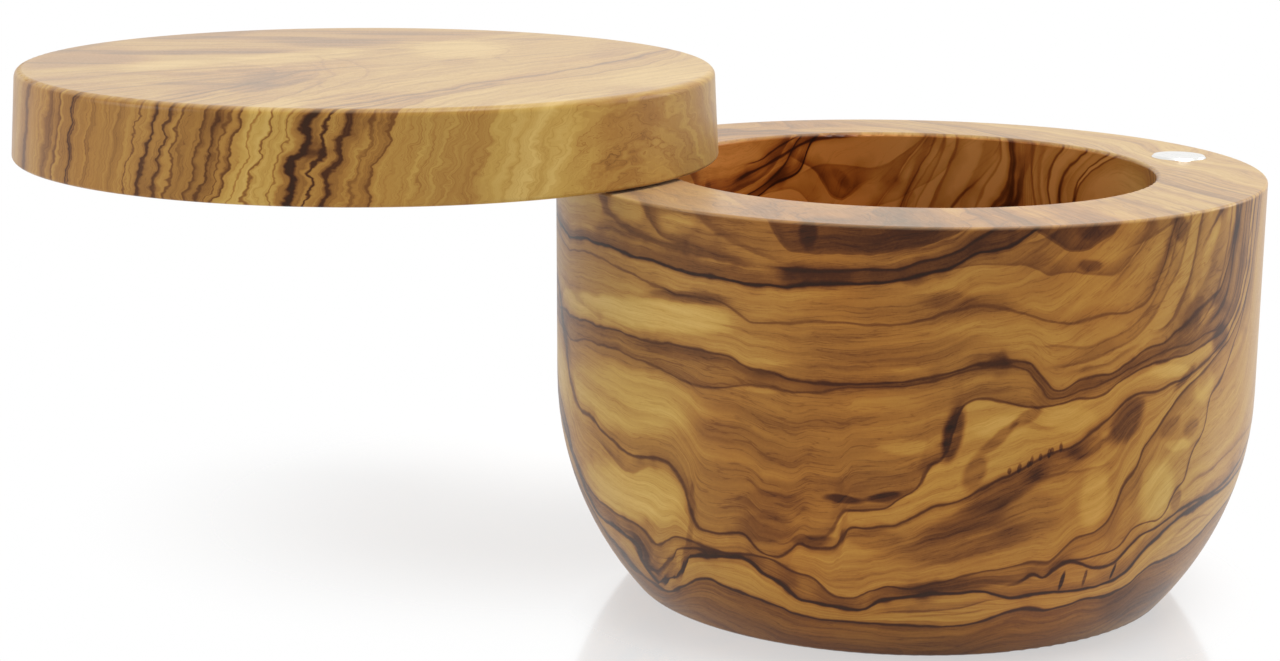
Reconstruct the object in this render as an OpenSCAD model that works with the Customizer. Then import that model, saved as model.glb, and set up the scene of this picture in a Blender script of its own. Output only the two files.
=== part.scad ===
// Turned olive-wood salt box with a lid that swivels on one upright pin and is held shut by magnets.
// The origin is the centre of the foot on the table, +Z is up and +X points from the pin to the magnet.
// The lid is drawn swung open.

/* [Bowl] */
// Diameter of the bowl across its rim
bowl_d = 108; // [98:1:124]
// Height from the foot to the rim
bowl_h = 65; // [52:0.5:90]
// Height at which the upright wall starts to curve in towards the foot
belly_h = 32.5; // [24:0.5:45]
// How much wider the rim is than the wall at the belly, on the radius
wall_flare = 0.3; // [0.1:0.1:3]
// Diameter at which the curved wall meets the table, before the edge is eased
foot_d = 82; // [68:1:98]
// Rounding of the foot's edge
foot_edge_r = 1.2; // [0.4:0.1:3]
// Rounding of the rim's outer edge
rim_edge_r = 0.4; // [0.2:0.1:2]

/* [Salt cavity] */
// Thickness of the rim, from the cavity to the outside
wall_t = 16.5; // [13:0.5:22]
// Depth of the cavity below the rim
cavity_depth = 54; // [30:0.5:58]
// Radius of the curve between the cavity's wall and its floor
cavity_round = 18; // [6:0.5:28]
// Rounding of the rim's inner edge
mouth_edge_r = 0.6; // [0.2:0.1:2]

/* [Lid] */
// Thickness of the lid
lid_t = 13.6; // [12:0.2:22]
// How far the lid's underside reaches past the rim all round
lid_overhang = 0.7; // [0:0.1:3]
// How much the lid's side draws in from its underside to its top, on the radius
lid_taper = 0.8; // [0:0.1:3]
// Rounding of the lid's top edge
lid_top_edge_r = 1.2; // [0.3:0.1:4]
// Rounding of the lid's lower edge
lid_low_edge_r = 0.5; // [0.2:0.1:2]
// How far the lid is swung open in the drawing, counter-clockwise from above, in degrees
lid_open = 133.6; // [0:0.1:359]

/* [Swivel] */
// Diameter of the steel pin
pin_d = 6; // [4:0.5:8]
// Length of the pin that is pressed into the lid
pin_in_lid = 9; // [6:0.5:10]
// Length of the pin that turns in the bowl
pin_in_bowl = 20; // [12:0.5:26]
// Chamfer on both ends of the pin
pin_chamfer = 0.6; // [0.2:0.1:1]
// Free space below the pin in its sleeve
pin_end_gap = 2; // [0.5:0.5:5]
// Radial running clearance between the pin and its sleeve
pin_clear = 0.05; // [0.02:0.01:0.1]
// Wall of the sleeve that lines the bowl's bore
sleeve_wall = 1; // [0.5:0.1:1.5]
// Countersink in the sleeve's mouth, which leads the pin in
sleeve_mouth = 0.3; // [0.1:0.1:0.4]
// Diameter of the spacer washer between the rim and the lid
washer_d = 13; // [11.5:0.5:13]
// Thickness of the spacer washer
washer_t = 0.4; // [0.4:0.05:1.5]
// Radial clearance between the washer and the pin
washer_clear = 0.2; // [0.1:0.05:0.4]
// Play that is left between the washer and the lid
lid_play = 0.02; // [0.01:0.01:0.1]

/* [Magnets] */
// Diameter of both magnets
magnet_d = 8.5; // [5:0.5:10]
// Thickness of both magnets
magnet_t = 4; // [2:0.5:8]
// Chamfer on both faces of a magnet
magnet_chamfer = 0.3; // [0.1:0.1:0.8]
// How far the rim's magnet stands out of the rim
magnet_proud = 0.3; // [0:0.05:0.35]
// Radial glue line round a magnet
glue_gap = 0.05; // [0.02:0.01:0.2]

/* [Hidden] */
$fn = 128;
wood = [0.72, 0.52, 0.27];
lid_wood = [0.78, 0.61, 0.34];
steel = [0.72, 0.73, 0.75];
brass = [0.78, 0.62, 0.30];
nylon = [0.22, 0.17, 0.13];
magnet_plating = [0.88, 0.88, 0.90];

bowl_r = bowl_d / 2;
belly_r = bowl_r - wall_flare;
foot_r = foot_d / 2;
cavity_r = bowl_r - wall_t;
floor_z = bowl_h - cavity_depth;
// The belly is one arc that runs on smoothly from the wall and meets the table at foot_r
belly_top = [belly_r, belly_h];
wall_up = unit([bowl_r, bowl_h] - belly_top);
wall_inward = [-wall_up[1], wall_up[0]];
belly_chord = [foot_r, 0] - belly_top;
belly_arc = belly_chord * belly_chord / (2 * belly_chord * wall_inward);
belly_centre = belly_top + belly_arc * wall_inward;
// The pin and the magnet stand on the middle of the rim, opposite each other
rim_middle = (bowl_r + cavity_r) / 2;
pin_place = [-rim_middle, 0];
magnet_place = [rim_middle, 0];
pin_r = pin_d / 2;
sleeve_bore_r = pin_r + pin_clear;
sleeve_r = sleeve_bore_r + sleeve_wall;
sleeve_l = pin_in_bowl + pin_end_gap;
lid_z = bowl_h + washer_t + lid_play;
lid_low_r = bowl_r + lid_overhang;
lid_top_r = lid_low_r - lid_taper;
pocket_r = magnet_d / 2 + glue_gap;
rim_magnet_z = bowl_h + magnet_proud - magnet_t;
// Reach of a cut beyond the face that it opens
past = 1;

function unit(v) = v / norm(v);

// What rounding a corner at p takes away, where the two edges leave p along the directions a and b
module corner_waste(p, a, b, r) {
    along = unit(a);
    beside = unit(b);
    half_angle = acos(along * beside) / 2;
    centre = p + unit(along + beside) * r / sin(half_angle);
    touch_a = p + along * r / tan(half_angle);
    touch_b = p + beside * r / tan(half_angle);
    difference() {
        polygon([centre, 2 * touch_a - centre, 2 * p - centre, 2 * touch_b - centre]);
        translate(centre) circle(r);
    }
}

// What rounding takes away between the flat foot and the belly's arc
module foot_edge_waste() {
    reach = belly_arc - foot_edge_r;
    rise = belly_centre[1] - foot_edge_r;
    centre = [belly_centre[0] + sqrt(reach * reach - rise * rise), foot_edge_r];
    outward = unit(centre - belly_centre);
    difference() {
        polygon([centre, [centre[0], -past], [bowl_r, -past], centre + outward * 3 * foot_edge_r]);
        translate(centre) circle(foot_edge_r);
    }
}

// Outside of the bowl, from the axis outwards: upright wall, arc of the belly, flat foot
module bowl_outline() {
    difference() {
        union() {
            polygon([[0, belly_h], belly_top, [bowl_r, bowl_h], [0, bowl_h]]);
            intersection() {
                translate(belly_centre) circle(belly_arc);
                square([bowl_r, belly_h]);
            }
        }
        foot_edge_waste();
        corner_waste([bowl_r, bowl_h], [-1, 0], -wall_up, rim_edge_r);
    }
}

// Inside of the bowl: straight wall, round corner, flat floor
module cavity_outline() {
    difference() {
        translate([-past, floor_z]) square([cavity_r + past, cavity_depth + past]);
        corner_waste([cavity_r, floor_z], [-1, 0], [0, 1], cavity_round);
    }
    corner_waste([cavity_r, bowl_h], [1, 0], [0, -1], mouth_edge_r);
}

module blind_hole(place, r, from_z, depth) {
    translate([place[0], place[1], from_z]) cylinder(h = depth, r = r);
}

module bowl() {
    color(wood) difference() {
        rotate_extrude() difference() {
            bowl_outline();
            cavity_outline();
        }
        blind_hole(pin_place, sleeve_r, bowl_h - sleeve_l, sleeve_l + past);
        blind_hole(magnet_place, pocket_r, rim_magnet_z, magnet_t + past);
    }
}

// A round bar with a chamfer on both ends
module chamfered_bar(length, r, chamfer) {
    straight = length - 2 * chamfer;
    cylinder(h = chamfer, r1 = r - chamfer, r2 = r);
    translate([0, 0, chamfer]) cylinder(h = straight, r = r);
    translate([0, 0, chamfer + straight]) cylinder(h = chamfer, r1 = r, r2 = r - chamfer);
}

module pivot_sleeve() {
    mouth_r = sleeve_bore_r + sleeve_mouth;
    color(brass) translate([pin_place[0], pin_place[1], bowl_h - sleeve_l]) difference() {
        cylinder(h = sleeve_l, r = sleeve_r);
        translate([0, 0, -past]) cylinder(h = sleeve_l + 2 * past, r = sleeve_bore_r);
        translate([0, 0, sleeve_l - sleeve_mouth]) {
            cylinder(h = sleeve_mouth + past, r1 = sleeve_bore_r, r2 = mouth_r + past);
        }
    }
}

module pivot_washer() {
    color(nylon) translate([pin_place[0], pin_place[1], bowl_h]) difference() {
        cylinder(h = washer_t, r = washer_d / 2);
        translate([0, 0, -past]) cylinder(h = washer_t + 2 * past, r = pin_r + washer_clear);
    }
}

module magnet() {
    color(magnet_plating) chamfered_bar(magnet_t, magnet_d / 2, magnet_chamfer);
}

module rim_magnet() {
    translate([magnet_place[0], magnet_place[1], rim_magnet_z]) magnet();
}

// Turns what is drawn in the closed place about the pin, to where the open lid has it
module swung_open() {
    translate(pin_place) rotate(lid_open) translate(-pin_place) children();
}

module lid_outline() {
    side_up = [lid_top_r - lid_low_r, lid_t];
    difference() {
        polygon([[0, 0], [lid_low_r, 0], [lid_top_r, lid_t], [0, lid_t]]);
        corner_waste([lid_top_r, lid_t], [-1, 0], -side_up, lid_top_edge_r);
        corner_waste([lid_low_r, 0], [-1, 0], side_up, lid_low_edge_r);
    }
}

module lid() {
    color(lid_wood) swung_open() difference() {
        translate([0, 0, lid_z]) rotate_extrude() lid_outline();
        blind_hole(pin_place, pin_r, lid_z - past, pin_in_lid + past);
        blind_hole(magnet_place, pocket_r, lid_z - past, magnet_t + past);
    }
}

module pivot_pin() {
    foot_z = bowl_h - pin_in_bowl;
    head_z = lid_z + pin_in_lid;
    color(steel) swung_open() translate([pin_place[0], pin_place[1], foot_z]) {
        chamfered_bar(head_z - foot_z, pin_d / 2, pin_chamfer);
    }
}

module lid_magnet() {
    swung_open() translate([magnet_place[0], magnet_place[1], lid_z]) magnet();
}

bowl();
pivot_sleeve();
pivot_washer();
rim_magnet();
lid();
pivot_pin();
lid_magnet();
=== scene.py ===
"""Looks for a round wooden salt box with a swivel lid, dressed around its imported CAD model.

The bowl and the lid are two blocks of olive wood, each with its own figure.
The figure is solid: it runs through the block, so the front, the rim, the inside
and the back all show cuts through the same growth layers.
Lengths in the wood's own tables are millimetres.
"""

import math

import bmesh
import bpy
from bpy.props import FloatProperty, FloatVectorProperty, PointerProperty
from bpy.types import Operator, Panel, PropertyGroup
from mathutils import Matrix, Vector


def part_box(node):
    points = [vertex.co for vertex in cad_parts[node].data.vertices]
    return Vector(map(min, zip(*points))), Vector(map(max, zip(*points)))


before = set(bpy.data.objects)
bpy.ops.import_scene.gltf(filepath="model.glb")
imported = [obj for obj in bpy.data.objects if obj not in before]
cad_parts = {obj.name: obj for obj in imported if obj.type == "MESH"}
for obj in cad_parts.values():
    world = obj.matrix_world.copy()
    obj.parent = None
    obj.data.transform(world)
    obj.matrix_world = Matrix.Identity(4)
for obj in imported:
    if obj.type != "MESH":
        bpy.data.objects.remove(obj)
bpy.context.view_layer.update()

bl_info = {
    "name": "Salt box",
    "version": (1, 0, 0),
    "blender": (4, 5, 0),
    "location": "3D View > Sidebar > Salt box",
    "description": "Olive wood, pivot metals, magnets and a pale stage for a salt box",
    "category": "Material",
}

MM = 0.001

# The camera stands off the bowl's front, turned by this angle about the bowl's
# axis. Both figures are drawn in axes turned the same way: across, away and up.
FRONT_TURN = math.radians(16.779)

BOWL_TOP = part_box("bowl")[1].z / MM
BOWL_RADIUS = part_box("bowl")[1].x / MM
CAVITY_RADIUS = 37.5
# Below this height the bowl's wall curves in along one arc.
BELLY_HEIGHT, BELLY_ARC = 32.5, 47.125
LID_LOW, LID_HIGH = (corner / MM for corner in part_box("lid"))
LID_CENTRE = (LID_LOW + LID_HIGH) / 2


def linear(red, green, blue):
    """A colour given as it looks on screen, 0 to 255, as the linear one that Blender wants."""
    return tuple(
        c / 12.92 if c <= 0.04045 else ((c + 0.055) / 1.055) ** 2.4
        for c in (red / 255, green / 255, blue / 255)
    )


# Settings


def colour(name, description, default):
    """A setting that holds a colour."""
    return FloatVectorProperty(
        name=name,
        description=description,
        subtype="COLOR",
        size=3,
        min=0.0,
        max=1.0,
        default=default,
    )


def share(name, description, default):
    """A setting from 0 to 1."""
    return FloatProperty(
        name=name,
        description=description,
        subtype="FACTOR",
        min=0.0,
        max=1.0,
        default=default,
    )


class WoodSettings(PropertyGroup):
    """Colours and finish of the oiled olive wood."""

    sapwood: colour("Sapwood", "Palest wood between the growth lines", linear(207, 175, 104))
    honey: colour("Honey", "Common golden wood", linear(185, 149, 75))
    amber: colour("Amber", "Warm orange-brown wood", linear(161, 116, 54))
    umber: colour("Umber", "Brown wood beside the dark lines", linear(117, 75, 33))
    bark: colour("Bark", "Deep brown of the heavy lines", linear(68, 36, 12))
    ink: colour("Ink", "Nearly black heart of the heaviest lines", linear(33, 17, 6))
    warm_cast: colour("Warm cast", "Tint of the wood where it is warm", (1.0, 0.81, 0.58))
    heart_cast: colour("Heart cast", "Tint of the red wood inside the bowl", (1.0, 0.66, 0.52))
    # Pale tan over the flat tops: partly dusty sanded wood, partly painted sheen of the low-angle
    # light.
    dusty_tan_and_sheen: colour("Dry wood", "Dusty pale tan that veils the flat sanded tops", linear(212, 183, 145))
    roughness: share("Roughness", "How matt the oiled surface is", 0.34)
    # Paler tone of the flat tops: partly sanded wood, partly painted sheen of the low-angle light.
    sanding_and_sheen: FloatProperty(
        name="Sanding",
        description="How the tone of the flat top faces differs, paler below zero",
        min=-1.0,
        max=1.0,
        default=-0.12,
    )
    shine: share("Shine", "How strongly the bare wood mirrors", 0.14)
    bloom: share("Bloom", "Pale sheen of the fine-sanded wood at a low angle", 0.1)
    oil: share("Oil", "How much clear oil film lies on the wood", 0.05)


class MetalSettings(PropertyGroup):
    """Colours of the pivot's parts and of the magnets."""

    steel: colour("Pin steel", "Turned steel of the pivot pin", (0.6, 0.6, 0.6))
    brass: colour("Sleeve brass", "Brass of the pivot sleeve", (0.83, 0.62, 0.28))
    nickel: colour("Magnet nickel", "Nickel plating of the magnets", (0.86, 0.85, 0.82))
    nylon: colour("Washer nylon", "Dark nylon of the pivot washer", (0.08, 0.06, 0.045))


class StageSettings(PropertyGroup):
    """The photograph's camera, and a pale floor under soft light."""

    eye: FloatVectorProperty(
        name="Camera place",
        description="Where the camera stands",
        subtype="TRANSLATION",
        unit="LENGTH",
        size=3,
        default=(-0.16714, -0.41259, 0.13238),
    )
    down: FloatProperty(
        name="Camera tilt",
        description="How far the camera looks down",
        subtype="ANGLE",
        unit="ROTATION",
        default=math.radians(11.896),
    )
    roll: FloatProperty(
        name="Camera roll",
        description="How far the camera leans to its side",
        subtype="ANGLE",
        unit="ROTATION",
        default=math.radians(0.521),
    )
    lens: FloatProperty(
        name="Lens",
        description="Focal length on a sensor 36 mm wide",
        subtype="DISTANCE_CAMERA",
        unit="CAMERA",
        default=82.13,
    )
    floor_colour: colour("Floor", "Glossy pale floor", (0.93, 0.93, 0.925))
    floor_shadow: share("Floor shadow", "How deep the shadow at the bowl's base looks", 0.36)
    sky_light: share("Sky light", "Even light from all round", 0.42)
    lamp_power: FloatProperty(
        name="Lamps",
        description="Power that each lamp's own share multiplies",
        subtype="POWER",
        unit="POWER",
        default=3.8,
    )


# Node wiring


class Wiring:
    """Adds shader nodes to a new material or world, and links them. Its users call it w."""

    def __init__(self, owner):
        self.owner = owner
        owner.use_nodes = True
        self.tree = owner.node_tree
        self.tree.nodes.clear()

    def add(self, kind, inputs=(), **settings):
        """A node with its settings, and its inputs linked or set by name or place."""
        node = self.tree.nodes.new("ShaderNode" + kind)
        for key, value in settings.items():
            setattr(node, key, value)
        for key, value in dict(inputs).items():
            self.feed(node.inputs[key], value)
        return node

    def feed(self, socket, value):
        """Links a socket to another one, or sets it to a plain value."""
        if isinstance(value, bpy.types.NodeSocket):
            self.tree.links.new(value, socket)
        else:
            socket.default_value = value

    def math(self, operation, *values, clamp=False):
        node = self.add("Math", enumerate(values), operation=operation, use_clamp=clamp)
        return node.outputs[0]

    def plus(self, a, b):
        return self.math("ADD", a, b)

    def minus(self, a, b):
        return self.math("SUBTRACT", a, b)

    def times(self, a, b):
        return self.math("MULTIPLY", a, b)

    def times_plus(self, a, b, c):
        return self.math("MULTIPLY_ADD", a, b, c)

    def fit(self, value, low, high, to_low=0.0, to_high=1.0, smooth=False):
        """Value taken from the range low to high into to_low to to_high, and held there."""
        node = self.add(
            "MapRange",
            {"Value": value, "From Min": low, "From Max": high, "To Min": to_low, "To Max": to_high},
            interpolation_type="SMOOTHSTEP" if smooth else "LINEAR",
            clamp=True,
        )
        return node.outputs["Result"]

    def vector(self, x, y, z):
        return self.add("CombineXYZ", {0: x, 1: y, 2: z}).outputs[0]

    def noise(self, vector, scale, detail=2.0, roughness=0.5, channel="Fac"):
        node = self.add(
            "TexNoise",
            {"Vector": vector, "Scale": scale, "Detail": detail, "Roughness": roughness},
        )
        return node.outputs[channel]

    def channels(self, vector, scale, roughness=0.5):
        """Three noises that have nothing to do with each other, each round a middle of 0.5."""
        shades = self.noise(vector, scale, roughness=roughness, channel="Color")
        return self.add("SeparateColor", {0: shades}).outputs

    def centred(self, noise):
        """A noise moved so that its middle is 0."""
        return self.plus(noise, -0.5)

    def length(self, vector):
        return self.add("VectorMath", {0: vector}, operation="LENGTH").outputs["Value"]

    def curve(self, value, points, domain, reach, handle="AUTO_CLAMPED"):
        """A curve through given points, whose x lies in domain and whose y lies in reach."""
        node = self.add("FloatCurve", {"Value": self.fit(value, *domain)})
        drawn = node.mapping.curves[0]
        spots = [
            ((x - domain[0]) / (domain[1] - domain[0]), (y - reach[0]) / (reach[1] - reach[0]))
            for x, y in sorted(points)
        ]
        drawn.points[0].location, drawn.points[1].location = spots[0], spots[-1]
        for spot in spots[1:-1]:
            drawn.points.new(*spot)
        for point in drawn.points:
            point.handle_type = handle
        node.mapping.use_clip = False
        node.mapping.update()
        return self.times_plus(node.outputs[0], reach[1] - reach[0], reach[0])

    def ramp(self, value, stops):
        """A colour ramp with stops of (place, linear colour)."""
        node = self.add("ValToRGB", {"Fac": value})
        elements = node.color_ramp.elements
        while len(elements) < len(stops):
            elements.new(0.5)
        for element, (place, shade) in zip(elements, stops):
            element.position = place
            element.color = (*shade, 1.0)
        return node.outputs["Color"]

    def blend(self, share_of_b, a, b, mode="MIX"):
        """Colour a with a share of colour b mixed in or multiplied by it."""
        node = self.add("Mix", data_type="RGBA", blend_type=mode)
        by_name = {socket.identifier: socket for socket in node.inputs}
        self.feed(by_name["Factor_Float"], share_of_b)
        for name, shade in (("A_Color", a), ("B_Color", b)):
            plain = not isinstance(shade, bpy.types.NodeSocket)
            self.feed(by_name[name], (*shade, 1.0) if plain else shade)
        return next(s for s in node.outputs if s.identifier == "Result_Color")

    def finish(self, surface, output="OutputMaterial"):
        """Links the surface to the output, and gives the finished material or world back."""
        self.add(output, {"Surface": surface}).is_active_output = True
        return self.owner


# Olive wood

# Across the block the tables run from LEFT_END to RIGHT_END, up it from LOW_END
# to HIGH_END. Tone goes from 0, the palest wood, to 1, nearly black.
LEFT_END, RIGHT_END = -56.0, 92.0
LOW_END, HIGH_END = -60.0, 120.0

# A line's slope is taken over this distance to each side of a place.
SLOPE_STEP = 0.35
# A line's profile is drawn over this distance to each side of it.
PROFILE_REACH = 9.0
# Every core's width is multiplied by the first, and its darkness raised to the second.
LINE_WIDTH, LINE_CONTRAST = 0.62, 1.4
# The middle share of a line that is fully dark, and how far past its edge the shading starts
CORE_SHARE, CORE_EDGE = 0.5, 0.12
# The shading still has this share of its tone at this share of its reach.
SHADE_LEFT, SHADE_BEND = 0.55, 0.45
# Width over which one fill changes into the next
EDGE_SOFTNESS = 0.8
# Length over which a fading line dies away
FADE_LENGTH = 4.0

# Full range by which the figure strays from its drawn lines, and how fine that wandering is
STRAY, STRAY_SCALE = 1.2, 0.2
# How much the lines swell and thin out along their length
SWELL = 2.4

# The first layer starts this far below the first guide line.
FIRST_LAYER = 12.0
# Layers above the last guide line, and the height that they fill
LAST_LAYERS, LAST_REACH = 2.0, 30.0
# Two guide lines never come closer than this.
LEAST_GAP = 1.0
# How quickly the rings change across the block and along the fibre
RING_ACROSS, RING_ALONG = 0.035, 0.012
# How strongly rings, threads and fibre change the tone, and how much is added on a sanded top
RING_CONTRAST, SANDED_RINGS = 0.56, 0.4
THREAD_TONE, SANDED_THREADS = 0.11, 0.1
FIBRE_CONTRAST, SANDED_FIBRE = 0.09, 0.12
# A thread lies where the noise is this close to its middle.
THREAD_WIDTH = 0.025
# How fine the fibre is across its run, and how quickly it changes along it compared with that
FIBRE_SCALE, FIBRE_ALONG = 2.6, 0.08

# Share of a line's darkness that is taken off on a sanded flat top
SANDED_LINES = 0.35
# Share of the pale tint on a flat top: partly dusty sanded wood, partly painted sheen of the low-angle
# light
TOP_SHEEN_AND_DUST = 0.3
# In the heartwood the tones spread this much further apart, about this tone.
HEART_SPREAD, HEART_TONE = 0.46, 1.5
# How much clouds and the drawn band add to the warm cast, and the sum at which it is full
WARM_CLOUDS, WARM_BAND, WARM_FULL = 0.8, 0.6, 0.7
# How fine those clouds are
WARM_SCALE = 0.05
# How far the fibre varies the roughness, and how high it stands in relief
GLOSS_RANGE = 0.16
FIBRE_RELIEF = 0.06 * MM


class GrainLine:
    """One growth line: where it runs, how wide and dark it is, and the wood beside it.

    over and under are the reach and tone of the soft shading above and below it.
    fill is the tone of the wood from this line up to the next one that has a fill.
    fade tells which of the line's ends die away inside the block.
    A line with layer set guides the fine rings.
    """

    def __init__(
        self, points, core, dark, over=(1.0, 0.0), under=(1.0, 0.0), fill=None, fade="", layer=False
    ):
        self.points = points
        self.core = core
        self.dark = dark
        self.over = over
        self.under = under
        self.fill = fill
        self.fade = fade
        self.layer = layer

    def profile(self):
        """Tone against the distance from the line: a sharp core with a soft side above and below."""
        over_reach, over_tone = self.over
        under_reach, under_tone = self.under
        half = self.core * LINE_WIDTH / 2
        dark = self.dark**LINE_CONTRAST
        return [
            (-PROFILE_REACH, 0.0),
            (-half - under_reach, 0.0),
            (-half - under_reach * SHADE_BEND, under_tone * SHADE_LEFT),
            (-half - CORE_EDGE, under_tone),
            (-half * CORE_SHARE, dark),
            (half * CORE_SHARE, dark),
            (half + CORE_EDGE, over_tone),
            (half + over_reach * SHADE_BEND, over_tone * SHADE_LEFT),
            (half + over_reach, 0.0),
            (PROFILE_REACH, 0.0),
        ]


class Stain:
    """A soft oval of darker or paler wood, at a place of the block's face."""

    def __init__(self, spot, half_width, half_height, tone, tilt=0.0):
        self.spot = spot
        self.half_width = half_width
        self.half_height = half_height
        self.tone = tone
        self.tilt = math.radians(tilt)


def wall_radius(height):
    """The bowl's radius at a height, near enough: straight above its belly, one arc below it."""
    if height >= BELLY_HEIGHT:
        return BOWL_RADIUS
    drop = BELLY_HEIGHT - height
    return BOWL_RADIUS - BELLY_ARC + math.sqrt(BELLY_ARC**2 - drop**2)


# How the bowl's layers lean to the side, spread and rise for each millimetre behind the front
SIDE_LEAN = 0.3
SPREAD = 0.004
RISE = 0.1
# Drawn points that come closer together than this are left out.
LEAST_STEP = 0.25


def leaned(side, up, depth):
    """The figure's two axes at a place, from its depth behind the bowl's front."""
    return (side + SIDE_LEAN * depth) * (1 + SPREAD * depth), up + RISE * depth


def into_block(across, up):
    """A point of the bowl's front, as seen from the camera's side, in the figure's two axes."""
    radius = wall_radius(min(up, BOWL_TOP))
    return leaned(across, up, BOWL_RADIUS - math.sqrt(max(radius**2 - across**2, 0.0)))


def on_front(*points):
    """Points read on the bowl's front, carried into the figure's axes and kept in order."""
    placed = sorted(into_block(across, up) for across, up in points)
    kept = [placed[0]]
    for spot in placed[1:]:
        if spot[0] > kept[-1][0] + LEAST_STEP:
            kept.append(spot)
    return kept


def on_far_wall(*points):
    """Points read on the cavity's far wall, as angle and height, carried into the figure's axes."""
    placed = []
    for angle, up in points:
        turn = math.radians(angle)
        depth = BOWL_RADIUS + CAVITY_RADIUS * math.cos(turn)
        placed.append(leaned(CAVITY_RADIUS * math.sin(turn), up, depth))
    return placed


def line_darkness(w, line, distance, across):
    """How much a line darkens the wood at a distance from it, dying away at its faded ends."""
    dark = w.curve(
        distance, line.profile(), (-PROFILE_REACH, PROFILE_REACH), (0.0, 1.0), "VECTOR"
    )
    if "start" in line.fade:
        first = line.points[0][0]
        dark = w.times(dark, w.fit(across, first, first + FADE_LENGTH))
    if "end" in line.fade:
        last = line.points[-1][0]
        dark = w.times(dark, w.fit(across, last, last - FADE_LENGTH))
    return dark


def growth_layers(w, across, up, swell, lines, start):
    """The tone of the wood between the lines, its layer number, and what the lines leave clear.

    The layer number grows by one from each guide line to the next. The fine rings follow it.
    """
    domain, reach = (LEFT_END, RIGHT_END), (LOW_END, HIGH_END)
    before, after = w.plus(across, -SLOPE_STEP), w.plus(across, SLOPE_STEP)
    tone, number, below = start, None, None
    clear = 1.0
    for line in lines:
        low = w.curve(before, line.points, domain, reach)
        high = w.curve(after, line.points, domain, reach)
        height = w.times(w.plus(low, high), 0.5)
        slope = w.times(w.minus(high, low), 0.5 / SLOPE_STEP)
        lean = w.math("SQRT", w.times_plus(slope, slope, 1.0))
        distance = w.math("DIVIDE", w.minus(up, height), lean)
        if line.fill is not None:
            side = w.fit(distance, -EDGE_SOFTNESS / 2, EDGE_SOFTNESS / 2)
            tone = w.times_plus(side, w.minus(line.fill, tone), tone)
        if line.layer:
            if below is None:
                number = w.fit(w.minus(up, height), -FIRST_LAYER, 0.0)
            else:
                height = w.math("MAXIMUM", height, w.plus(below, LEAST_GAP))
                gap = w.minus(height, below)
                part = w.math("DIVIDE", w.minus(up, below), gap, clamp=True)
                number = w.plus(number, part)
            below = height
        dark = line_darkness(w, line, w.times(distance, swell), across)
        clear = w.times(clear, w.minus(1.0, dark))
    above = w.minus(up, below)
    number = w.plus(number, w.fit(above, 0.0, LAST_REACH, 0.0, LAST_LAYERS))
    return tone, number, clear


def ringed(w, tone, layered, sanded):
    """The tone with soft rings, and with dark threads where a second noise crosses its middle."""
    broad = w.centred(w.noise(layered, 1.0, detail=3.0, roughness=0.65))
    contrast = w.times_plus(sanded, SANDED_RINGS, RING_CONTRAST)
    tone = w.times_plus(broad, contrast, tone)
    fine = w.centred(w.noise(layered, 1.7, detail=3.0, roughness=0.7))
    thread = w.fit(w.math("ABSOLUTE", fine), 0.0, THREAD_WIDTH, 1.0, 0.0)
    return w.times_plus(thread, w.times_plus(sanded, SANDED_THREADS, THREAD_TONE), tone)


def stained(w, tone, across, up, stains):
    """The tone with its stains added, each one full over its inner half."""
    face = w.vector(across, up, 0.0)
    for stain in stains:
        mapped = w.add(
            "Mapping",
            {
                "Vector": face,
                "Location": (*stain.spot, 0.0),
                "Rotation": (0.0, 0.0, stain.tilt),
                "Scale": (stain.half_width, stain.half_height, 1.0),
            },
            vector_type="TEXTURE",
        )
        oval = w.add("TexGradient", {0: mapped.outputs[0]}, gradient_type="SPHERICAL")
        tone = w.plus(tone, w.fit(oval.outputs["Fac"], 0.0, 0.5, 0.0, stain.tone, smooth=True))
    return tone


def lined(w, tone, clear, heart, sanded, sanding_and_sheen):
    """The tone with the growth lines over it, fainter and shifted paler on the flat tops, partly as
    painted sheen, and spread in the heart.
    """
    clear = w.times_plus(w.times(sanded, SANDED_LINES), w.minus(1.0, clear), clear)
    apart = w.times(w.plus(tone, -HEART_TONE), w.times(heart, HEART_SPREAD))
    # The flat tops' tone is shifted paler: partly sanded wood, partly painted sheen of the low-angle
    # light.
    tone = w.plus(apart, w.times_plus(sanded, sanding_and_sheen, tone))
    bright = w.times(w.math("SUBTRACT", 1.0, tone, clamp=True), clear)
    return w.minus(1.0, bright)


def tinted(w, tone, settings, across, in_mm, heart, sanded, warmth):
    """The wood's colour for its tone, with the warm cast, the red heart and the pale tint on the flat
    tops, partly dusty sanded wood and partly painted sheen.
    """
    shade = w.ramp(
        tone,
        [
            (0.0, settings.sapwood),
            (0.26, settings.honey),
            (0.47, settings.amber),
            (0.68, settings.umber),
            (0.86, settings.bark),
            (1.0, settings.ink),
        ],
    )
    from_left, to_left, from_right, to_right = warmth
    band = w.times(
        w.fit(across, from_left, to_left, smooth=True),
        w.fit(across, from_right, to_right, smooth=True),
    )
    band = w.times_plus(band, WARM_BAND, -WARM_CLOUDS / 2)
    warm = w.times_plus(w.noise(in_mm, WARM_SCALE), WARM_CLOUDS, band)
    shade = w.blend(w.fit(warm, 0.0, WARM_FULL), shade, settings.warm_cast, "MULTIPLY")
    if isinstance(heart, bpy.types.NodeSocket):
        shade = w.blend(heart, shade, settings.heart_cast, "MULTIPLY")
    # Pale tan mixed over the flat tops: partly dusty sanded wood, partly painted sheen of the
    # low-angle light.
    return w.blend(w.times(sanded, TOP_SHEEN_AND_DUST), shade, settings.dusty_tan_and_sheen)


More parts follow.
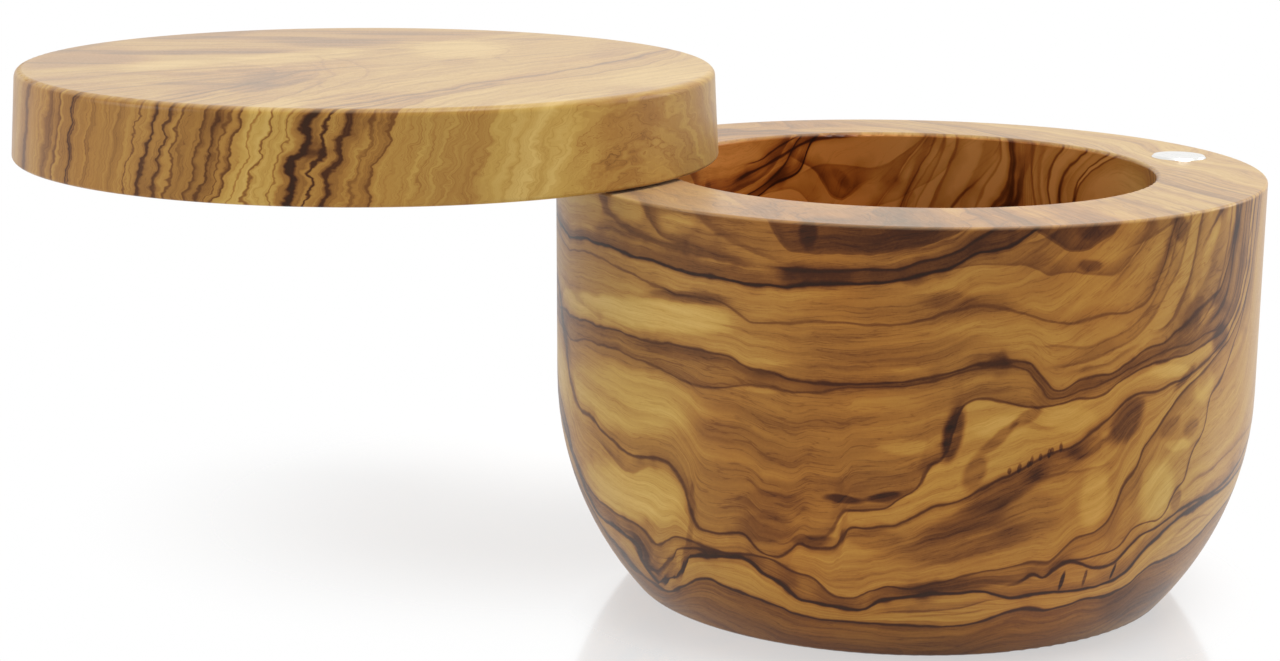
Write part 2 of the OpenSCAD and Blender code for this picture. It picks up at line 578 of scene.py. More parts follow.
def wood_material(name, settings, axes, lines, stains, start, rings, warmth):
    """Olive wood whose figure is drawn by growth lines and stains over fine rings and fibre.

    axes(w, place) gives the coordinates across, up and along the fibre, in millimetres,
    how far a place is in the red heartwood, where the tones lie further apart, and how far
    it is on a flat top face, which is painted paler, partly for its dusty sanded wood and
    partly as painted sheen of the low-angle light, and where the lines are fainter.
    start is the tone of the wood below the first line that has a fill.
    rings is how many fine rings lie between two guide lines.
    warmth is where across the block the wood turns from olive to warm and back.
    """
    w = Wiring(bpy.data.materials.new(name))
    place = w.add("TexCoord").outputs["Object"]
    in_mm = w.add("VectorMath", {0: place, 3: 1 / MM}, operation="SCALE").outputs[0]
    stray = w.channels(in_mm, STRAY_SCALE, roughness=0.45)
    across, up, along, heart, sanded = axes(w, in_mm)
    across = w.plus(across, w.times_plus(stray[0], STRAY, -STRAY / 2))
    up = w.plus(up, w.times_plus(stray[1], STRAY, -STRAY / 2))
    swell = w.times_plus(stray[2], SWELL, 1.0 - SWELL / 2)

    tone, number, clear = growth_layers(w, across, up, swell, lines, start)
    layered = w.vector(
        w.times(number, rings), w.times(across, RING_ACROSS), w.times(along, RING_ALONG)
    )
    tone = ringed(w, tone, layered, sanded)
    tone = stained(w, tone, across, up, stains)
    tone = lined(w, tone, clear, heart, sanded, settings.sanding_and_sheen)
    drawn_out = w.vector(across, up, w.times(along, FIBRE_ALONG))
    fibre = w.noise(drawn_out, FIBRE_SCALE, roughness=0.7)
    contrast = w.times_plus(sanded, SANDED_FIBRE, FIBRE_CONTRAST)
    tone = w.times_plus(w.centred(fibre), contrast, tone)

    gloss = w.times_plus(fibre, GLOSS_RANGE, settings.roughness - GLOSS_RANGE / 2)
    bump = w.add("Bump", {"Height": fibre, "Strength": 0.1, "Distance": FIBRE_RELIEF})
    body = w.add(
        "BsdfPrincipled",
        {
            "Base Color": tinted(w, tone, settings, across, in_mm, heart, sanded, warmth),
            "Roughness": gloss,
            "Normal": bump.outputs[0],
            "Specular IOR Level": settings.shine,
            "Sheen Weight": settings.bloom,
            "Sheen Roughness": 0.35,
            "Coat Weight": settings.oil,
            "Coat Roughness": 0.28,
        },
    )
    return w.finish(body.outputs[0])


def turned_axes(w, in_mm, centre=(0.0, 0.0)):
    """Across, away and up as seen from the camera's side, from a centre in the turned axes."""
    turned = w.add(
        "VectorRotate",
        {"Vector": in_mm, "Axis": (0.0, 0.0, 1.0), "Angle": FRONT_TURN},
        rotation_type="AXIS_ANGLE",
    )
    split = w.add("SeparateXYZ", {0: turned.outputs[0]})
    return (
        w.plus(split.outputs[0], -centre[0]),
        w.plus(split.outputs[1], -centre[1]),
        split.outputs[2],
    )


# Heights below the top at which a face starts to take the flat tops' sanded look with its painted
# sheen, and takes it fully
RIM_SANDED, LID_SANDED = (0.5, 0.05), (0.6, 0.05)
# Places away from the camera between which the cavity's wood turns into red heartwood
HEART_AWAY = (-10.0, 25.0)
# Radii between which the cavity's wood changes into that of the outside
WALL_RADII = (37.0, 46.0)
# Where the block's left back sinks, across and in depth, and how far
SINK_ACROSS, SINK_DEPTH, SINK = (12.0, -28.0), (38.0, 80.0), -16.0
# Depths between which the figure starts to drift, how far it does, and how fine its waves are
DRIFT_DEPTH, DRIFT, DRIFT_SCALE = (34.0, 66.0), 34.0, 0.022


def bowl_axes(w, in_mm):
    """The bowl's layers lean to the side, spread and rise as they run away from the front.

    The block's left back sinks and its far half drifts, so its sides don't mirror each other.
    """
    side, away, height = turned_axes(w, in_mm)
    radius = w.length(w.vector(side, away, 0.0))
    sanded = w.fit(height, BOWL_TOP - RIM_SANDED[0], BOWL_TOP - RIM_SANDED[1])
    far = w.fit(away, *HEART_AWAY, smooth=True)
    inside = w.fit(radius, *reversed(WALL_RADII), smooth=True)
    outside = w.fit(radius, *WALL_RADII, smooth=True)
    heart = w.times(w.times(far, inside), w.minus(1.0, sanded))
    depth = w.plus(away, BOWL_RADIUS)
    sink = w.times(w.times(outside, w.fit(side, *SINK_ACROSS)), w.fit(depth, *SINK_DEPTH, 0.0, SINK))
    drift = w.channels(in_mm, DRIFT_SCALE)
    adrift = w.fit(depth, *DRIFT_DEPTH, 0.0, DRIFT, smooth=True)
    side = w.times_plus(w.centred(drift[0]), adrift, side)
    height = w.times_plus(w.centred(drift[1]), adrift, w.plus(height, sink))
    across = w.times(w.times_plus(depth, SIDE_LEAN, side), w.times_plus(depth, SPREAD, 1.0))
    return across, w.times_plus(depth, RISE, height), away, heart, sanded


LID_TURNED_CENTRE = (
    LID_CENTRE.x * math.cos(FRONT_TURN) - LID_CENTRE.y * math.sin(FRONT_TURN),
    LID_CENTRE.x * math.sin(FRONT_TURN) + LID_CENTRE.y * math.cos(FRONT_TURN),
)
# How far the lid's layers shift sideways for each millimetre below its top
LID_LEAN = 0.28
# How far the layers bend to and fro, how fine their bends are across, away and up,
# and how far below the top the bends, which are half as wide on it, have their full width
LID_BEND, LID_BEND_SCALES, LID_BEND_DEPTH = 5.6, (0.2, 0.06, 0.34), 3.0


def lid_axes(w, in_mm):
    """The lid's layers stand on edge, so its figure runs from front to back and side to side."""
    side, away, height = turned_axes(w, in_mm, LID_TURNED_CENTRE)
    below_top = w.minus(LID_HIGH.z, height)
    places = zip((side, away, height), LID_BEND_SCALES)
    bends = w.vector(*(w.times(place, scale) for place, scale in places))
    bend = w.times_plus(w.noise(bends, 1.0, detail=3.0, roughness=0.55), LID_BEND, -LID_BEND / 2)
    width = w.fit(below_top, 0.0, LID_BEND_DEPTH, 0.5, 1.0)
    shift = w.times_plus(below_top, LID_LEAN, w.times(bend, width))
    return away, w.plus(side, shift), height, 0.0, w.fit(below_top, *LID_SANDED)


# Tone of the wood below the first line, and how many fine rings lie between two guide lines
BOWL_START, BOWL_RINGS = 0.58, 10.0
# Where across the block the wood turns warm, and where it turns back
BOWL_WARMTH = (-42.0, -12.0, 48.0, 22.0)
BOWL_LINES = [
    # Edge of the plain brown wood at the foot
    GrainLine(
        on_front(
            (-47.5, 12), (-46, 11), (-44, 9.6), (-42.5, 8), (-41, 6.8), (-39, 5.8), (-37, 5),
            (-36, 4.9), (-35, 6.2), (-34, 7.6), (-33, 8.6), (-32, 9.6), (-31, 10.2), (-30, 10.2),
            (-28, 9.6), (-24, 8.4), (-22, 8), (-20.5, 7.4), (-19, 6.6), (-16, 6.4), (-8, 6.4),
            (0, 6), (6, 6.1), (8, 6.8), (12, 8.2), (14, 8.6), (17, 8), (20, 8), (22, 8.6),
            (28, 9.1), (30, 10), (31.5, 11.2), (33, 12.4), (35, 12.9), (38, 13.2), (41, 14.5),
            (44, 16.5), (47, 18), (50, 19),
        ),
        core=0.65, dark=0.85, under=(2.0, 0.2), over=(0.8, 0.15), fill=0.36, layer=True,
    ),
    # Thin line between the foot and the knot
    GrainLine(
        on_front((-9, 8.2), (-4, 8.6), (0, 8.6), (3, 9), (6, 9.8), (9, 10.6), (12, 10.9)),
        core=0.4, dark=0.55, over=(1.5, 0.25), fade="start end",
    ),
    GrainLine(
        on_front((-4, 7.6), (0, 7.8), (4, 8.2), (8, 9), (10, 9.2)),
        core=0.5, dark=0.4, fade="start end",
    ),
    # The heavy line that dives into the knot and comes out again
    GrainLine(
        on_front(
            (-51, 18.5), (-49, 17), (-48, 15.6), (-47, 14.6), (-45, 14), (-43, 13.8),
            (-41.5, 13), (-40.8, 12), (-40, 10), (-39, 8), (-38.2, 6.6), (-37, 5.8),
            (-36.3, 5.6), (-36, 7), (-35.6, 10), (-35, 12.3), (-34, 13), (-32, 14), (-30, 14.6),
            (-28, 15), (-26.5, 15.3), (-25, 15), (-24, 14.2), (-23, 13), (-21.5, 12.4),
            (-20, 11.4), (-19, 10), (-18, 9.3), (-16, 9.1), (-13, 8.8), (-10, 8.6), (-8.5, 9),
            (-7.5, 10), (-5, 10.8), (-2, 11.5), (0, 11.8), (4, 12), (6, 12.3), (8, 12),
            (10, 11.4), (12, 10.8), (16, 10.9), (20, 11), (22, 10.8), (24, 10.9), (26, 11.3),
            (28, 12), (30, 13.5), (31, 14.8), (32, 16), (34, 17.4), (36, 18.9), (38, 20),
            (40, 20.6), (42, 21.2), (46, 21.8), (50, 23),
        ),
        core=0.9, dark=0.93, over=(2.4, 0.35), under=(0.8, 0.15), fill=0.42, layer=True,
    ),
    # The rope of lines to the right of the middle
    GrainLine(
        on_front(
            (10, 12.6), (13, 13.5), (15, 14.6), (16.5, 14), (18, 15.3), (20, 16), (21, 15.9),
            (22.5, 15.2), (24.5, 14.3), (26.5, 14.5), (28, 15.8), (30, 17.8), (32, 18.9),
            (34, 19.4), (36, 20.5), (38, 21.3), (42, 21.8), (46, 22.8), (50, 25.5),
        ),
        core=0.8, dark=0.85, over=(1.0, 0.2), fade="start",
    ),
    GrainLine(
        on_front(
            (17, 16), (20, 16.2), (24, 16.4), (26, 16.8), (28, 18), (29, 19.5), (30, 20.2),
            (32, 20.6), (33.5, 20.6), (34.8, 21.5), (35.5, 23.5), (36.5, 25), (37.5, 26),
            (38, 28), (38.5, 30), (40, 32), (40.6, 34), (40.9, 36), (41.3, 37.5), (42.2, 38.5),
            (43.5, 40), (44.5, 42), (45.5, 44.5), (47, 48), (49, 60), (49.5, 68),
        ),
        core=0.45, dark=0.72, over=(1.0, 0.1), fade="start",
    ),
    GrainLine(
        on_front((35, 14.5), (37, 16.5), (39, 18), (42, 18.4), (44, 17.8)),
        core=0.5, dark=0.4, fade="start end",
    ),
    GrainLine(
        on_front((36.5, 23.4), (39, 25.2), (42, 26), (45, 27), (48, 28.4), (51, 29)),
        core=0.7, dark=0.4, over=(0.8, 0.1), fade="start",
    ),
    # Inner line of the knot
    GrainLine(
        on_front(
            (-45, 15.3), (-42.5, 14.6), (-40.6, 13.4), (-39.6, 11), (-38.6, 8.6), (-37.6, 8.2),
            (-36.9, 10), (-36.4, 12.4), (-35, 14.2), (-32, 15.1), (-28, 15.4), (-25, 15.6),
        ),
        core=0.6, dark=0.72, over=(0.6, 0.1), fade="start end",
    ),
    # Upper edge of the brown bundle over the knot
    GrainLine(
        on_front(
            (-51, 21), (-50, 19.5), (-48, 18.2), (-46.5, 17.4), (-44, 16.6), (-42, 16.3),
            (-40, 15.9), (-38.8, 14.6), (-38, 13.4), (-37.2, 14.6), (-36, 15.8), (-34, 16.2),
            (-32, 16), (-30, 15.7), (-28, 15.6), (-26, 15.8), (-22, 15.7), (-20, 14.9),
            (-18.5, 14), (-16.5, 13.6), (-15, 12.4), (-14, 11.2), (-12.5, 10.4), (-11, 10.6),
            (-9.5, 10.8), (-9, 11.5), (-7, 12.3), (-5, 12.8), (-3, 12.6), (0, 13.4), (2, 13.8),
            (4, 14.6), (6, 15.3), (9, 15.8), (12, 16.3), (14, 16.6), (16, 16.3), (17.5, 16.5),
            (18.5, 17.8), (20.5, 19.6), (22, 20), (24, 20.6), (25.5, 22), (26.4, 24), (27, 26),
            (28, 28), (29.3, 29.5), (30.2, 32), (32, 34), (34, 37), (36, 39), (39, 41),
            (41, 42.5), (43, 44), (45, 46), (48, 52), (49.5, 65),
        ),
        core=0.5, dark=0.72, under=(2.6, 0.3), fill=0.4, layer=True,
    ),
    # The stair: down the left side, along a step, and up into the smudge
    GrainLine(
        on_front(
            (-50.5, 29.9), (-48, 29), (-46, 27.3), (-44.5, 25.8), (-43, 25.1), (-42, 24.9),
            (-41, 25.8), (-40, 26.6), (-38.5, 27.1), (-37.2, 27),
        ),
        core=0.7, dark=0.5, over=(1.6, 0.32), fade="start end",
    ),
    GrainLine(
        on_front(
            (-54, 33), (-50, 31.8), (-47, 30.4), (-45, 29), (-43, 28), (-41, 27.8), (-39, 28.2),
            (-37.5, 28.2), (-36, 27.6), (-35, 26), (-34, 24), (-33.3, 22), (-33, 20),
            (-32.6, 18.9), (-31, 18.5), (-29, 18.3), (-27.5, 19.2), (-26, 19.2), (-25.2, 18.5),
            (-24.7, 17.5), (-23.5, 16.6), (-22, 16.3), (-20.5, 16.5), (-19.5, 17.3),
            (-18.5, 18.8), (-17.8, 19.2), (-17, 18.6), (-15, 18.4), (-13.4, 18.4),
            (-12.7, 19.5), (-12.3, 21.3), (-11.5, 21.9), (-9, 22.1), (-6, 22.7), (-4, 23.4),
            (-2, 24.4), (-1, 25.3), (0, 25.9), (2, 26.2), (5, 27.3), (8, 29), (11, 30.5),
            (14, 32), (17, 33), (19, 33.6), (22, 35.3), (25, 37.5), (27, 39.2), (29, 40.2),
            (31, 40.2), (34, 40.6), (37, 41.5), (40, 43), (43, 45), (45, 47.5), (47, 52),
            (48, 58), (48.4, 65),
        ),
        core=0.6, dark=0.78, under=(0.9, 0.2), over=(1.0, 0.25), fill=0.33, layer=True,
    ),
    GrainLine(
        on_front((11, 28.4), (14, 29.2), (17, 29.9), (20, 30.2), (24, 30.5), (26, 31)),
        core=0.8, dark=0.4, under=(2.0, 0.15), fade="start end",
    ),
    # The wood over the stair, and the ledge with the dark wedge that climbs from its corner
    GrainLine(
        on_front(
            (-54, 33.2), (-50, 32), (-45, 29.2), (-40, 28.2), (-37, 28.2), (-35, 26.2),
            (-33.3, 22), (-32.6, 19.2), (-30, 18.6), (-27, 19.4), (-25, 18), (-22, 16.6),
            (-19.5, 17.6), (-17.8, 19.4), (-15, 18.6), (-14, 20.6), (-13, 24), (-10, 24.8),
            (-6, 25.8), (-3, 28), (-1.3, 30.5), (0.5, 32.4), (2.2, 36), (3.4, 40), (7, 41),
            (13, 39.7), (20, 40.5), (26, 42.3), (33, 44.1), (39, 45.2), (43, 46.8), (46, 51),
            (47.6, 65),
        ),
        core=0.2, dark=0.0, fill=0.5,
    ),
    GrainLine(
        on_front(
            (-17, 19.6), (-14.4, 20.6), (-13.4, 22.5), (-13, 24),
            (-12, 24.6), (-10, 24.8), (-8, 25), (-6, 25.8), (-4.5, 26.8), (-3, 28),
            (-1.8, 28.9), (-1.3, 30.5), (-0.7, 31.8), (0.5, 32.4), (1.5, 33.5), (2.2, 36),
            (2.8, 38), (3.4, 40), (5, 40.8), (7, 41), (9, 40.8), (11, 40.2), (13, 39.7),
            (15, 39.7), (18, 40), (20, 40.5), (22, 40.4), (24, 41), (26, 42.3), (28, 43.3),
            (30, 43.9), (33, 44.1), (36, 44.6), (39, 45.2), (41, 46), (43, 46.8), (44.5, 48),
            (45.5, 50), (46.5, 53), (47.3, 57), (47.6, 65),
        ),
        core=0.55, dark=0.72, over=(2.4, 0.25), fade="start",
    ),
    # Lower and upper edge of the broad brown band
    GrainLine(
        on_front(
            (-54, 39.5), (-53, 40.6), (-51, 41.8), (-49, 42.4), (-46, 42.7), (-43, 42.4),
            (-40, 42), (-38, 41.4), (-36, 41), (-34, 40.6), (-32, 40.3), (-30, 40.3),
            (-27, 40.8), (-24, 41.3), (-20, 41.2), (-16, 41.4), (-13, 42.2), (-8, 42.6),
            (-4, 43), (0, 43.8), (4, 45.2), (8, 45.6), (12, 45.2), (14, 42.8), (16, 40.8),
            (20, 41.4), (24, 42.6), (28, 44.2), (32, 45.3), (36, 46), (40, 46.8), (43, 48),
            (45, 52), (46, 58), (46.3, 65),
        ),
        core=0.45, dark=0.6, under=(1.5, 0.12), over=(1.2, 0.12), fill=0.6,
    ),
    GrainLine(
        on_front(
            (-54, 43), (-52, 44.2), (-49, 45), (-46, 45.3), (-42, 45.3), (-38, 45.2),
            (-34, 45.3), (-31, 45), (-28, 44.7), (-26, 43.9), (-23, 43.6), (-18, 42.6),
            (-14, 42.8), (-10, 43), (-6, 43.4), (-2, 44), (2, 45), (5, 46), (8, 46.2),
            (12, 46.2), (13.5, 45), (15, 43), (16.5, 41.9), (18, 42), (20, 43), (22, 43.4),
            (24, 43.4), (26, 44.3), (28, 45.3), (30, 46.4), (33, 47), (34, 47.8), (36, 49),
            (38, 50.5), (40, 51.8), (42, 53), (43, 55.5), (44, 60), (44.3, 65),
        ),
        core=0.6, dark=0.72, over=(1.5, 0.2), under=(1.5, 0.2), fill=0.4, layer=True,
    ),
    GrainLine(
        on_front((-54, 47.5), (-52, 48), (-50, 47.7), (-46, 46.8), (-42, 46.2), (-39, 45.9)),
        core=0.7, dark=0.35, over=(1.2, 0.12), fade="end",
    ),
    GrainLine(
        on_front((-20, 45.2), (-10, 45.3), (-4, 46), (0, 46.3), (4, 47.2), (9, 47)),
        core=0.6, dark=0.2, under=(1.0, 0.08), fade="start end",
    ),
    GrainLine(
        on_front((17, 44), (20, 44.5), (24, 45), (27, 46.6), (29.5, 47.4)),
        core=1.1, dark=0.42, under=(1.0, 0.1), fade="start end",
    ),
    # The brown line under the heavy pair
    GrainLine(
        on_front(
            (-54, 53), (-52, 54.5), (-50, 55.2), (-47, 55.4), (-45, 55.1), (-43, 54.8),
            (-41, 54.2), (-38, 53.2), (-36, 52.7), (-33, 52.8), (-30, 52.8), (-28.5, 52.3),
            (-27.5, 51.5), (-26, 50.5), (-24.5, 50.3), (-22, 50.6), (-19, 51.1), (-16, 51.3),
            (-8, 51.3), (-5, 51.7), (-3, 52.2), (-1, 52.7), (1, 53.2), (3, 53.6), (5, 54),
            (7, 53.9), (9, 53.6), (11, 53), (13, 52.4), (15, 51.8), (17, 51.4), (19, 51.4),
            (21, 51.9), (23, 52), (26, 52), (28, 52.6), (30, 54), (31, 56), (32, 58.5),
            (33, 61.5), (33.8, 65),
        ),
        core=0.5, dark=0.6, over=(1.5, 0.2), under=(1.8, 0.16), fill=0.42,
    ),
    # Steep lines at the right
    GrainLine(
        on_front(
            (14, 45), (20, 45.6), (24, 46.6), (28, 48.6), (31, 51.5), (33, 55), (35, 59),
            (36.2, 65), (36.6, 69),
        ),
        core=0.7, dark=0.45, over=(1.4, 0.15), fade="start",
    ),
    GrainLine(
        on_front((12, 48.4), (20, 47.8), (25, 48.8), (29, 51.4), (31, 54), (33, 58.5), (35, 66)),
        core=0.5, dark=0.4, under=(1.6, 0.12), fade="start",
    ),
    GrainLine(
        on_front((37, 47.2), (39.5, 49.5), (41.5, 53), (42.6, 57), (43.1, 61), (43.4, 67)),
        core=0.6, dark=0.5, over=(0.8, 0.1), fade="start",
    ),
    GrainLine(
        on_front((43, 46.4), (45, 49.6), (46, 54), (46.6, 59), (46.9, 66)),
        core=0.7, dark=0.45, over=(1.0, 0.15), fade="start",
    ),
    GrainLine(
        on_front((22, 54), (25, 57), (27, 59.5), (29, 62.3), (30.5, 65), (32, 68)),
        core=0.4, dark=0.4, under=(1.0, 0.15), fade="start",
    ),
    GrainLine(
        on_front((29, 54.5), (31, 57.5), (32.5, 60), (33.5, 63), (34, 67)),
        core=2.6, dark=0.46, over=(1.5, 0.15), under=(1.0, 0.1), fade="start",
    ),
    GrainLine(
        on_front(
            (30, 48.2), (33, 49.2), (34.5, 51), (35.5, 53.5), (36.3, 56), (37, 58.5),
            (37.6, 61), (38, 65), (38.3, 69),
        ),
        core=1.0, dark=0.62, over=(0.8, 0.1), under=(2.4, 0.3), fade="start",
    ),
    GrainLine(
        on_front((34, 47.6), (36, 49.8), (38.5, 53), (40, 56), (41, 59), (41.6, 62), (42, 67)),
        core=2.6, dark=0.42, under=(1.5, 0.2), over=(1.0, 0.1), fade="start",
    ),
    GrainLine(
        on_front(
            (39, 47.2), (41, 48.8), (42.5, 50.6), (43.6, 53.5), (44.1, 57), (44.4, 61), (44.7, 67)
        ),
        core=0.8, dark=0.75, over=(2.0, 0.35), under=(0.8, 0.2), fade="start",
    ),
    GrainLine(
        on_front((46, 45.5), (47.4, 50), (48.2, 54), (48.7, 60), (49, 67)),
        core=0.8, dark=0.35, under=(1.5, 0.15), fade="start",
    ),
    # The heavy pair near the rim
    GrainLine(
        on_front(
            (-54, 55), (-53, 56), (-51, 57), (-49, 57.4), (-46, 57.5), (-43, 57.3), (-40, 56.9),
            (-37, 56.5), (-34, 56.1), (-31, 55.9), (-27, 55.7), (-23, 55.6), (-21, 55.8),
            (-19, 56.2), (-17, 56.6), (-14, 56.8), (-10, 56.8), (-8, 57.1), (-6, 57.6),
            (-4, 58), (-2, 58.4), (0, 59), (2, 59.9), (3.5, 61), (5, 61.8), (7, 62), (9, 62.3),
            (11, 63), (12, 64), (13.5, 65.5), (16, 69),
        ),
        core=0.7, dark=0.96, over=(2.4, 0.4), under=(0.8, 0.25), fill=0.54, layer=True,
    ),
    GrainLine(
        on_front(
            (-25, 58.4), (-22, 58.4), (-16, 58.4), (-12, 58.7), (-8, 59), (-4, 59.6),
            (-2, 60.2), (0, 60.8), (2, 61.8), (4, 63), (6, 64.2), (8, 65.4), (12, 69),
        ),
        core=0.6, dark=0.9, over=(1.2, 0.35), under=(2.2, 0.55), fade="start",
    ),
    GrainLine(
        on_front(
            (-2, 58.8), (1, 59.2), (4, 59.8), (8, 60), (11, 59.7), (13, 59), (15, 58.4),
            (18, 58.4), (21, 58.1), (24, 57.7), (25.5, 58.4), (27, 60.2), (29, 63), (31, 67),
        ),
        core=0.5, dark=0.5, over=(2.6, 0.3), fade="start",
    ),
    # Nested bends that climb over the rim at the left
    GrainLine(
        on_front(
            (-47.8, 68), (-46.4, 64.5), (-45.6, 62.6), (-44, 61.4), (-42, 60.6), (-40, 60),
            (-37, 59.6), (-33, 59.2), (-29, 58.7), (-26, 58.4), (-23, 58.4),
        ),
        core=1.5, dark=0.52, over=(0.8, 0.15), fade="end",
    ),
    GrainLine(
        on_front(
            (-41.4, 68), (-40.3, 64.5), (-39.3, 61.9), (-38, 60.8), (-36, 60.4), (-33, 60),
            (-29, 59.2), (-25, 58.9),
        ),
        core=0.6, dark=0.55, over=(2.4, 0.34), fade="end",
    ),
    GrainLine(
        on_front((-35, 69), (-32.5, 64.6), (-30, 62.6), (-27, 61), (-24, 60), (-20, 59.4)),
        core=1.6, dark=0.45, over=(3.0, 0.2), fade="end",
    ),
    GrainLine(
        on_front(
            (-25, 69), (-23, 64), (-21.5, 61.6), (-18, 60.9), (-14, 60.8), (-10, 61.2),
            (-6, 61.8), (-3, 62.4), (0, 63.3), (2, 64.2), (4, 65.2), (8, 68.5),
        ),
        core=0.5, dark=0.55, over=(7.0, 0.5),
    ),
    # Dark wedge that hangs from the rim
    GrainLine(
        on_front(
            (9, 69), (12, 65), (14, 63.6), (16, 62.4), (18, 61.3), (20, 61.3), (22, 62.4),
            (24, 63.8), (27, 67),
        ),
        core=0.5, dark=0.55, over=(5.0, 0.6), fade="start end",
    ),
    # Dark bundles and thin lines on the cavity's far wall
    GrainLine(
        on_far_wall((-52, 56), (-42, 58), (-36, 59), (-30, 59.6), (-24, 60.6), (-18, 62.5), (-12, 67)),
        core=1.4, dark=0.86, over=(1.8, 0.3), under=(1.2, 0.25), fade="start end",
    ),
    GrainLine(
        on_far_wall((-46, 60), (-38, 60.6), (-32, 62), (-26, 62.6), (-21, 64), (-17, 68)),
        core=0.7, dark=0.8, over=(0.8, 0.2), under=(2.4, 0.2), fade="start end",
    ),
    GrainLine(
        on_far_wall((-30, 53), (-22, 55.5), (-14, 58), (-8, 60.5), (-2, 63), (4, 67)),
        core=0.6, dark=0.5, under=(4.5, 0.3), fade="start end",
    ),
    GrainLine(
        on_far_wall((-12, 52), (-4, 54.5), (3, 57), (8, 60), (11, 64), (13, 68)),
        core=0.5, dark=0.4, over=(3.0, 0.2), fade="start end",
    ),
    GrainLine(
        on_far_wall((9, 51), (13, 55), (16, 57.5), (19, 60), (20.5, 63), (22, 68)),
        core=0.7, dark=0.75, over=(1.2, 0.25), under=(1.0, 0.2), fade="start end",
    ),
    GrainLine(
        on_far_wall((19, 50), (23, 54), (25.5, 57), (27, 60), (29.5, 62.5), (31, 68)),
        core=1.4, dark=0.85, over=(1.6, 0.3), under=(1.6, 0.3), fade="start end",
    ),
    GrainLine(
        on_far_wall((30, 50), (35, 54), (38, 58), (39.5, 61), (41.5, 63.5), (43, 69)),
        core=1.2, dark=0.85, over=(0.8, 0.2), under=(2.0, 0.3), fade="start end",
    ),
]


def front_stain(across, up, half_width, half_height, tone, tilt=0.0):
    """A stain at a place of the bowl's front."""
    return Stain(into_block(across, up), half_width, half_height, tone, tilt)


# Across, up, half width, half height, tone and, for some, tilt
BOWL_STAINS = [
    front_stain(*stain)
    for stain in (
        (42.5, 45.8, 3.4, 2.6, 0.3, 25),
        (27.4, 36.4, 5.6, 3.0, 0.36, 42),
        (21.6, 33.4, 4.6, 1.7, 0.2, 14),
        (17.5, 31.4, 7.0, 2.2, 0.22, 20),
        (10.0, 28.0, 9.0, 2.8, 0.26, 28),
        (5.0, 23.8, 9.0, 2.6, 0.14, 24),
        (34.5, 34.4, 3.4, 1.6, 0.16, 30),
        (38.0, 33.6, 2.6, 1.6, 0.16, 20),
        (36.3, 23.2, 1.6, 2.4, 0.2),
        (36.5, 41.3, 4.2, 0.9, 0.25, 35),
        (5.6, 30.6, 2.0, 3.4, 0.26, -24),
        (8.6, 35.4, 4.6, 1.1, 0.25, 40),
        (12.6, 38.2, 3.6, 1.2, 0.25, 30),
        (2.5, 36.2, 1.9, 5.2, 0.42, -12),
        (-12.4, 26.3, 3.4, 0.8, 0.32),
        (-6.8, 27.0, 3.4, 0.9, 0.32, 8),
        (-22.0, 24.8, 6.0, 2.2, 0.1),
        (-16.0, 19.6, 3.4, 1.2, 0.22),
        (-23.0, 20.5, 5.0, 3.0, 0.14),
        (-24.5, 40.7, 3.4, 0.7, -0.14),
        (-36.0, 44.3, 7.0, 1.0, 0.08, -6),
        (-34.0, 52.6, 7.0, 1.2, 0.24),
        (1.0, 54.9, 5.0, 1.5, 0.08),
        (20.8, 59.2, 2.6, 1.1, 0.25),
        (20.5, 64.0, 2.6, 1.6, 0.16),
        (-18.2, 63.4, 1.4, 3.0, 0.18),
        (34.6, 63.0, 2.0, 2.4, 0.25),
        (-20.0, 34.5, 15.0, 5.5, 0.05),
        (-24.0, 27.0, 11.0, 6.0, 0.06),
        (-9.0, 28.8, 8.0, 2.2, 0.1, 6),
        (-50.0, 61.5, 4.0, 4.0, -0.2),
        (-43.0, 63.6, 2.6, 3.0, -0.16),
        (-36.0, 62.8, 3.0, 2.0, -0.14),
        (-6.0, 48.0, 18.0, 3.6, 0.12),
        (-4.0, 54.0, 16.0, 3.0, 0.12),
        (-14.0, 43.9, 13.0, 1.8, 0.16),
        (-9.0, 63.8, 14.0, 3.4, 0.16),
        (7.0, 63.0, 9.0, 2.4, 0.12, 12),
        (-44.0, 35.5, 13.0, 6.0, -0.24),
        (-4.0, 34.3, 5.0, 1.4, -0.12),
        (-7.0, 40.2, 7.0, 2.2, -0.08),
        (-40.0, 48.9, 14.0, 3.0, -0.28),
        (-41.0, 22.0, 8.0, 5.5, -0.2),
        (4.0, 20.5, 13.0, 4.5, 0.2, 8),
        (13.0, 24.0, 7.0, 6.0, 0.1),
        (-8.0, 20.5, 5.0, 2.0, 0.16),
        (4.0, 13.4, 13.0, 1.3, 0.24, 6),
        (23.0, 26.0, 3.6, 6.0, -0.2),
        (33.0, 25.0, 5.0, 6.0, -0.2),
        (9.0, 37.0, 5.0, 2.2, -0.12),
        (19.0, 37.6, 6.0, 2.2, -0.12),
        (34.0, 42.6, 6.0, 1.2, -0.14),
        (40.0, 39.5, 3.5, 4.0, -0.14),
        (36.0, 31.6, 4.0, 1.0, -0.14),
        (40.0, 50.3, 3.0, 1.6, -0.12, 45),
        (19.3, 13.0, 0.5, 2.0, 0.5),
        (22.7, 12.9, 0.45, 1.8, 0.35),
        (27.2, 13.4, 0.4, 1.6, 0.5),
        (33.0, 6.0, 14.0, 5.0, 0.16),
    )
]
# Short dark teeth of two lengths that stand on the line into the smudge
TEETH = 8
BOWL_STAINS += [
    front_stain(
        across=10.4 + tooth + 0.3 * (tooth % 3),
        up=30.9 + 0.4 * tooth,
        half_width=0.4,
        half_height=0.6 + 0.3 * (tooth % 2),
        tone=0.34,
    )
    for tooth in range(TEETH)
]

# In the lid's lines and stains each place is given as away, then across.
LID_START, LID_RINGS = 0.44, 15.0
